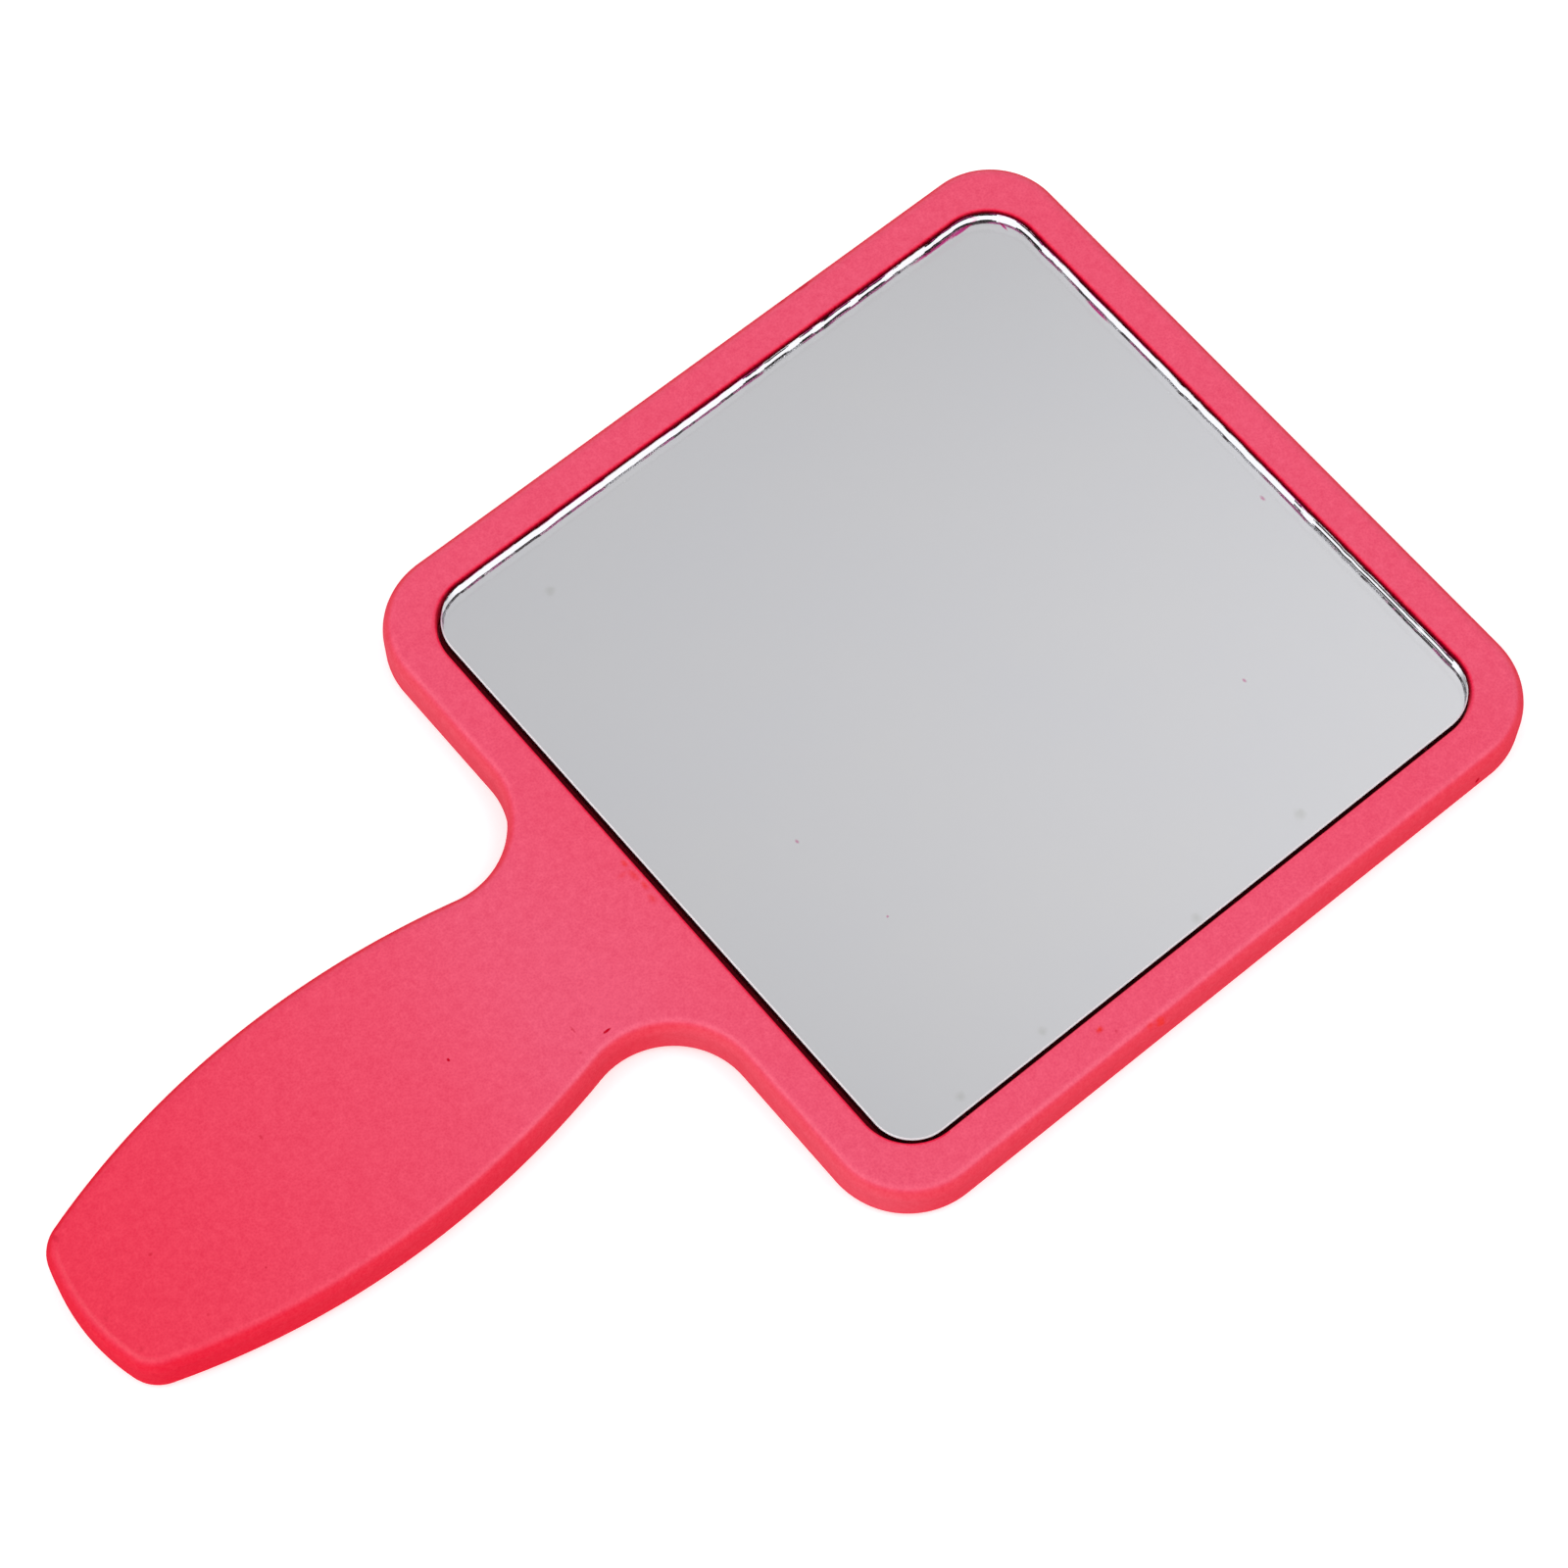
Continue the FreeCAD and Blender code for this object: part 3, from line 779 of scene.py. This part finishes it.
for vert in bm.verts:
    beyond, outwards = beyond_edge(vert.co, pane_half.x, pane_half.y, pane_corner)
    flattened = Vector((vert.co.x, vert.co.y, vert.co.z * ripple_rise))
    ripple = noise.noise(flattened / long_ripple)
    ripple += short_ripple_share * noise.noise(flattened / short_ripple)
    worn = max(ripple, 0) * far_side(vert.co)
    vert.co -= outwards * ripple_depth * worn
bmesh.ops.translate(bm, verts=bm.verts[:], vec=(pane_middle.x, pane_middle.y, pane_low.z))


# The stretches of the far and left edges that carry the painted dark streaks, each with its
# middle and half length in millimetres and how strongly. A streak's rise and reach are shares
# of the edge's height.
dark_streak_stretches = ((-40, 26, 0.66), (2, 24, 0.75), (108, 30, 0.85))
dark_streak_size = 3.6 * mm
dark_streak_strength = 0.9
dark_streak_wander = 15 * mm
dark_streak_wander_share = 0.1
far_streak_rise, left_streak_rise = 0.44, 0.62
far_streak_reach, left_streak_reach = 0.18, 0.23


def streak_reach(place):
    """How far a painted dark streak spreads up and down a cut edge."""
    toll = 0
    for middle, half, heavy in dark_streak_stretches:
        off_middle = abs((place.x + place.y) / mm - middle) / half
        toll = max(toll, heavy * min(2 - 2 * off_middle, 1))
    spread = dark_streak_strength * (noise.noise(place / dark_streak_size) + toll - 0.5)
    return min(spread, far_streak_reach if place.x > 0 else left_streak_reach)


def streak_rise(place):
    """How high up a cut edge its painted dark streaks run."""
    rise = far_streak_rise if place.x > 0 else left_streak_rise
    return rise + dark_streak_wander_share * noise.noise(place / dark_streak_wander)


for face in bm.faces:
    if face.normal.z < -0.9:
        face.material_index = silvered
    elif 0.1 < face.normal.z < 0.9:
        face.material_index = scraped
    elif abs(face.normal.z) < 0.1:
        place = face.calc_center_median()
        rise = (place.z - pane_low.z) / pane_height
        foot = Vector((place.x, place.y, pane_low.z))
        if far_side(place) > 0.5 and abs(rise - streak_rise(foot)) < streak_reach(foot):
            face.material_index = dark_streaked
pane = settle(bm, "mirror_pane_acrylic")
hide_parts("mirror_pane")
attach(pane, "root")

acrylic, tree, coords = new_material("clear_acrylic")
shader = node(tree, "ShaderNodeBsdfPrincipled", {"Base Color": (0.985, 0.99, 0.99, 1),
              "Roughness": 0.0, "IOR": 1.49, "Transmission Weight": 1.0})
finish_material(tree, shader.outputs[0])

arris, tree, coords = new_material("scraped_arris")
far_sides = place_group(tree, far_group, {"Vector": coords.outputs["Object"]})
# Painted reflections: dark and pink flecks on the far and left arris.
dark_fleck_noise = node(tree, "ShaderNodeTexNoise", {"Vector": coords.outputs["Object"], "Scale": 260.0,
             "Detail": 3.0, "Roughness": 0.65})
dark_flecks = grade(tree, dark_fleck_noise.outputs["Fac"], 0.53, 0.58)
dark_flecks = reckon(tree, 'MULTIPLY', dark_flecks.outputs[0], far_sides.outputs[0])
pink_fleck_noise = node(tree, "ShaderNodeTexNoise", {"Vector": coords.outputs["Object"], "Scale": 110.0,
             "Detail": 2.0})
pink_flecks = grade(tree, pink_fleck_noise.outputs["Fac"], 0.45, 0.52)
pink_flecks = reckon(tree, 'MULTIPLY', pink_flecks.outputs[0], far_sides.outputs[0])
frost = blend_colours(tree, pink_flecks.outputs[0], frost_white, painted_pink_fleck)
frost = blend_colours(tree, dark_flecks.outputs[0], frost.outputs[2], painted_dark_fleck)
shader = node(tree, "ShaderNodeBsdfPrincipled", {"Base Color": frost.outputs[2],
              "Roughness": 0.5, "IOR": 1.49, "Transmission Weight": 0.4})
finish_material(tree, shader.outputs[0])

# Painted reflection: a near-black patch on the far and left cut edges, for the dark streaks they
# show.
streak_edge, tree, coords = new_material("dark_streaked_edge")
grain = place_group(tree, grain_group, {"Vector": coords.outputs["Object"],
                    "Cells per metre": 1500.0, "Unevenness": 0.7, "Tone": 0.8})
tinted = brighten(tree, painted_streak_dark, grain.outputs["Tone"])
shader = node(tree, "ShaderNodeBsdfPrincipled", {"Base Color": tinted.outputs[0],
              "Roughness": 0.6, "Specular IOR Level": 0.0})
finish_material(tree, shader.outputs[0])

bright_silver, tree, coords = new_material("bright_silver")
tone = place_group(tree, silver_group, {"Vector": coords.outputs["Object"]})
shader = node(tree, "ShaderNodeBsdfPrincipled", {"Base Color": tone.outputs[0],
              "Metallic": 1.0, "Roughness": 0.0})
finish_material(tree, shader.outputs[0])
for layer in (acrylic, bright_silver, arris, streak_edge):
    pane.data.materials.append(layer)


# ------------------------------------------------------------------ studio
# A pale table under the mirror and a soft grey sky all round, with a low bright band on the
# handle's near side, which the mirror doesn't show. Two long softboxes overhead draw the light
# lines along the edges.
table_half_size = 3.0
table_gap = 0.05 * mm
table_lift = 0.38
left_overhead, right_overhead = 0.474, 0.826
crown_lean = 0.424
crown_breadth = 0.0076
crown_dip = 0.06
tent_level = 1.1
dome_level = 0.72
band_level = 2.15
softbox_level = 2.4

bm = bmesh.new()
bmesh.ops.create_grid(bm, x_segments=1, y_segments=1, size=table_half_size)
table_mesh = bpy.data.meshes.new("studio_table")
bm.to_mesh(table_mesh)
bm.free()
table = bpy.data.objects.new("studio_table", table_mesh)
table.location = (0, 0, -table_gap)
bpy.context.scene.collection.objects.link(table)
table_paper, tree, coords = new_material("table_paper")
fibres = node(tree, "ShaderNodeTexNoise", {"Vector": coords.outputs["Object"], "Scale": 400.0,
              "Detail": 3.0})
paper = level_curve(tree, fibres.outputs["Fac"], ((0.0, 0.84), (1.0, 0.86)))
seen = node(tree, "ShaderNodeLightPath")
unlit = reckon(tree, 'MAXIMUM', seen.outputs["Is Camera Ray"], seen.outputs["Is Glossy Ray"])
unlit = reckon(tree, 'MAXIMUM', unlit.outputs[0], seen.outputs["Is Transmission Ray"])
lift = reckon(tree, 'MULTIPLY', unlit.outputs[0], table_lift)
shader = node(tree, "ShaderNodeBsdfPrincipled", {"Base Color": paper.outputs[0],
              "Roughness": 0.9, "Specular IOR Level": 0.1, "Emission Color": (1, 1, 1, 1),
              "Emission Strength": lift.outputs[0]})
finish_material(tree, shader.outputs[0])
table.data.materials.append(table_paper)

world = bpy.data.worlds.new("soft_sky")
bpy.context.scene.world = world
world.use_nodes = True
tree = world.node_tree
tree.nodes.clear()
way = node(tree, "ShaderNodeTexCoord")
nearwards = node(tree, "ShaderNodeVectorMath", {0: way.outputs["Generated"],
                 1: (0.707, -0.707, 0.0)}, operation='DOT_PRODUCT')
handlewards = node(tree, "ShaderNodeVectorMath", {0: way.outputs["Generated"],
                   1: (0.4, -0.917, 0.0)}, operation='DOT_PRODUCT')
sidewards = node(tree, "ShaderNodeVectorMath", {0: way.outputs["Generated"],
                 1: (0.707, 0.707, 0.0)}, operation='DOT_PRODUCT')
height = node(tree, "ShaderNodeSeparateXYZ", {0: way.outputs["Generated"]})
overhead = grade(tree, sidewards.outputs["Value"], -0.25, 0.25, left_overhead, right_overhead)
off_crown = reckon(tree, 'ADD', nearwards.outputs["Value"], crown_lean)
off_crown = reckon(tree, 'MULTIPLY', off_crown.outputs[0], off_crown.outputs[0])
falling = grade(tree, off_crown.outputs[0], 0.0, crown_breadth, 0.0, crown_dip)
overhead = reckon(tree, 'SUBTRACT', overhead.outputs[0], falling.outputs[0])
tent = ease(tree, nearwards.outputs["Value"], -0.24, 0.0)
overhead = blend_levels(tree, tent.outputs[0], overhead.outputs[0], tent_level)
lower = ease(tree, height.outputs["Z"], 0.55, 0.82, 1.0, 0.0)
dome = blend_levels(tree, lower.outputs[0], overhead.outputs[0], dome_level)
low = ease(tree, height.outputs["Z"], 0.2, 0.38, 1.0, 0.0)
near = ease(tree, handlewards.outputs["Value"], 0.0, 0.6)
band = reckon(tree, 'MULTIPLY', low.outputs[0], near.outputs[0])
seen = node(tree, "ShaderNodeLightPath")
unmirrored = reckon(tree, 'SUBTRACT', 1.0, seen.outputs["Is Glossy Ray"])
band = reckon(tree, 'MULTIPLY', band.outputs[0], unmirrored.outputs[0])
sky = blend_levels(tree, band.outputs[0], dome.outputs[0], band_level)
level = blend_levels(tree, seen.outputs["Is Camera Ray"], sky.outputs[0], 1.0)
background = node(tree, "ShaderNodeBackground", {"Color": (1, 1, 1, 1),
                  "Strength": level.outputs[0]})
node(tree, "ShaderNodeOutputWorld", {"Surface": background.outputs[0]})


def hang_softbox(name, place, width, length, brightness):
    """A rectangular softbox turned to the mirror; its brightness is that of its face."""
    light = bpy.data.lights.new(name, 'AREA')
    light.shape = 'RECTANGLE'
    light.size = width
    light.size_y = length
    light.energy = brightness * width * length * 3.1416  # a matt face sends out pi times as much
    box = bpy.data.objects.new(name, light)
    box.location = place
    box.rotation_mode = 'QUATERNION'
    box.rotation_quaternion = (-box.location).to_track_quat('-Z', 'Y')
    box.visible_camera = False
    box.visible_transmission = False
    bpy.context.scene.collection.objects.link(box)


hang_softbox("right_softbox", (0.53, 0.27, 1.1), width=0.4, length=0.7, brightness=softbox_level)
hang_softbox("near_softbox", (-0.22, -0.54, 1.1), width=0.8, length=0.4, brightness=softbox_level)


# ------------------------------------------------------------------ camera
# A long lens, high above the near right of the handle. It looks down at the mirror on the
# table and is turned a little about its own line of sight.
camera_place = Vector((0.2544, -0.2456, 0.7428))
aim_place = Vector((0.0001, -0.0387, 0.0102))
camera_roll = radians(-0.64)

camera_data = bpy.data.cameras.new("camera")
camera_data.lens = 104.95
camera_data.sensor_width = 36.0
camera_data.clip_start = 0.01
camera = bpy.data.objects.new("camera", camera_data)
bpy.context.scene.collection.objects.link(camera)
camera.location = camera_place
camera.rotation_mode = 'QUATERNION'
aimed = (aim_place - camera_place).to_track_quat('-Z', 'Y')
camera.rotation_quaternion = aimed @ Quaternion((0, 0, 1), camera_roll)
bpy.context.scene.camera = camera
bpy.context.scene.view_settings.view_transform = 'Standard'
